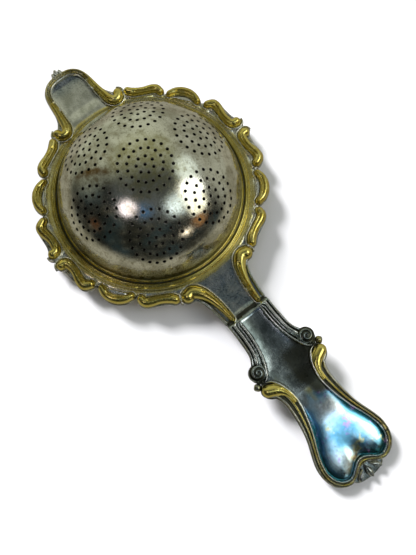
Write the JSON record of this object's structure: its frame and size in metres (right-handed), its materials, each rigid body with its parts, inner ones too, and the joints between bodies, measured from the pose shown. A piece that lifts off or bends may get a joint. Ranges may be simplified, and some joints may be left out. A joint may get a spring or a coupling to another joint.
{
  "type": "tea strainer",
  "caption": "Silver-plated tea strainer: a half-round pierced bowl in a scroll-bordered frame with a rest tab, and a waisted handle ending in a heart.",
  "frame": {"origin": "on the bowl's axis, level with the face of the frame plate on the side the bowl bulges to; this is the centre of the bowl's round mouth", "axes": "+X along the handle away from the tab, +Z the way the bowl bulges, so the strainer is stored turned over, as pictured; in use it is turned the other way up"},
  "size_m": [0.1653, 0.0758, 0.0344],
  "materials": {
    "silver_bowl": "pale silver plate with mottled tarnish",
    "silver_frame": "grey tarnished silver plate",
    "dark_silver": "dark tarnished silver plate",
    "worn_plate": "plate worn through to yellow brass on the raised parts",
    "bright_heart": "bright silver plate with blue tarnish colours"
  },
  "bodies": {
    "root": {"bowl": "silver_bowl", "bead_ring": "worn_plate", "frame": "silver_frame", "long_rim_scrolls": "worn_plate", "round_rim_scrolls": "worn_plate", "side_rim_scrolls": "worn_plate", "tab_border": "worn_plate", "tab_finial": "silver_frame", "neck_scrolls": "worn_plate", "neck_edge_beads": "dark_silver", "handle": "dark_silver", "handle_front_border": "dark_silver", "handle_front_volutes": "dark_silver", "handle_rear_volutes": "worn_plate", "handle_balls": "dark_silver", "handle_rear_border": "dark_silver", "heart_boss": "bright_heart", "handle_finial": "dark_silver"}
  },
  "joints": []
}
